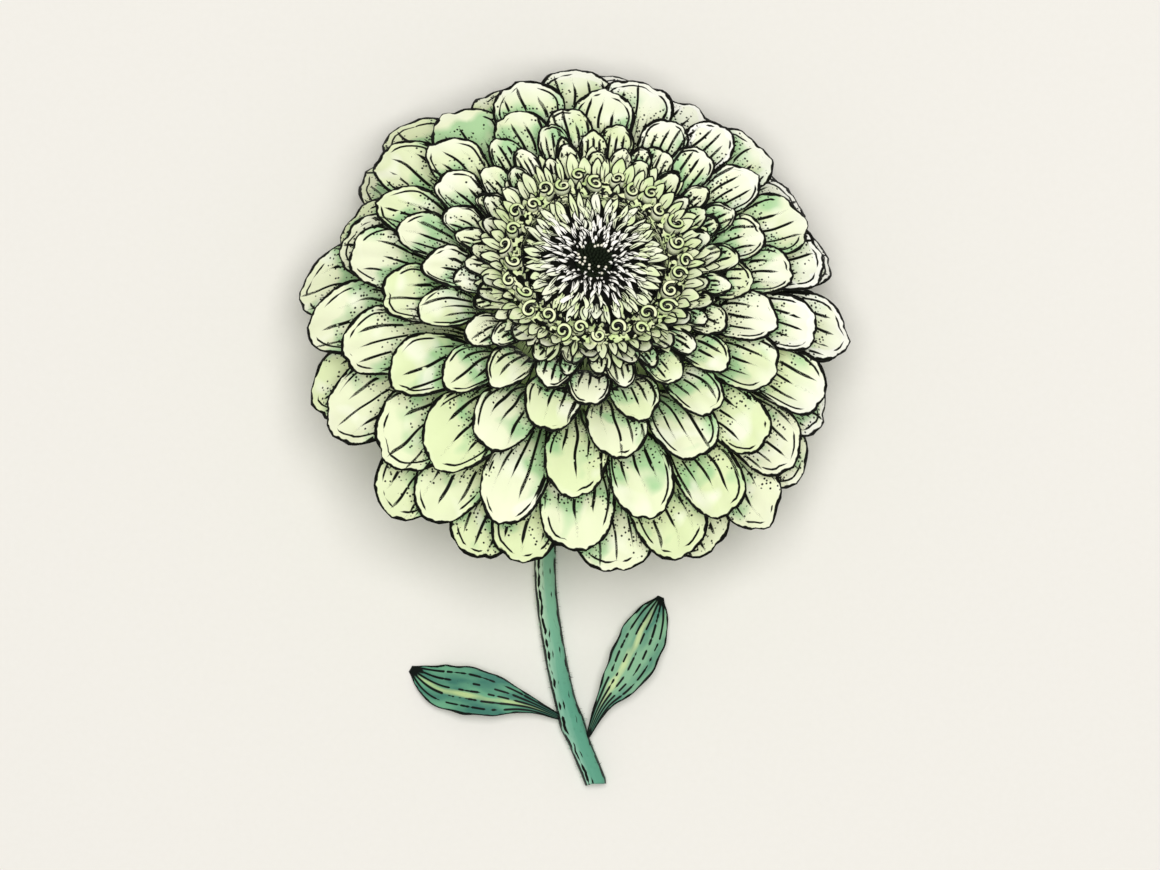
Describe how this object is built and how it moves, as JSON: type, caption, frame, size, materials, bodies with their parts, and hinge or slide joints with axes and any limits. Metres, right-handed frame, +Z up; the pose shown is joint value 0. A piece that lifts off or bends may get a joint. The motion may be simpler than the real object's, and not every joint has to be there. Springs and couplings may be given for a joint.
{
  "type": "zinnia flower",
  "caption": "Cut double zinnia lying face up, with a domed head of overlapping lime petals, rolled florets round a dark eye, a scaly cup and a bent stem with a pair of leaves.",
  "frame": {"origin": "on the surface the flower lies on, under the middle of its box", "axes": "+Z up from the surface; +Y from the cut end of the stem towards the head; +X to the right of the head seen from above with the stem's cut end nearest"},
  "size_m": [0.0976, 0.129, 0.0603],
  "materials": {
    "ray_petal": "thin, silky, lime to yellow-green with jade blotches, pale margins and fine dark veins",
    "chaff": "dry, papery, cream running to pale lime outwards, dark between the bristles",
    "curled_floret": "silky, yellow-green, dark inside each roll",
    "dark_bud": "matt, nearly black green with pale specks",
    "cup_scale": "leathery, mid green with a thin dark margin on each scale",
    "stem_skin": "satin, blue-green, fine dark streaks along it",
    "leaf_blade": "satin, teal green with yellow-green streaks and dark veins along it"
  },
  "bodies": {
    "root": {"ray_petals": "ray_petal", "disc_chaff": "chaff", "curled_florets": "curled_floret", "dark_eye": "dark_bud", "scale_cup": "cup_scale", "stem": "stem_skin", "leaf_left": "leaf_blade", "leaf_right": "leaf_blade"}
  },
  "joints": []
}
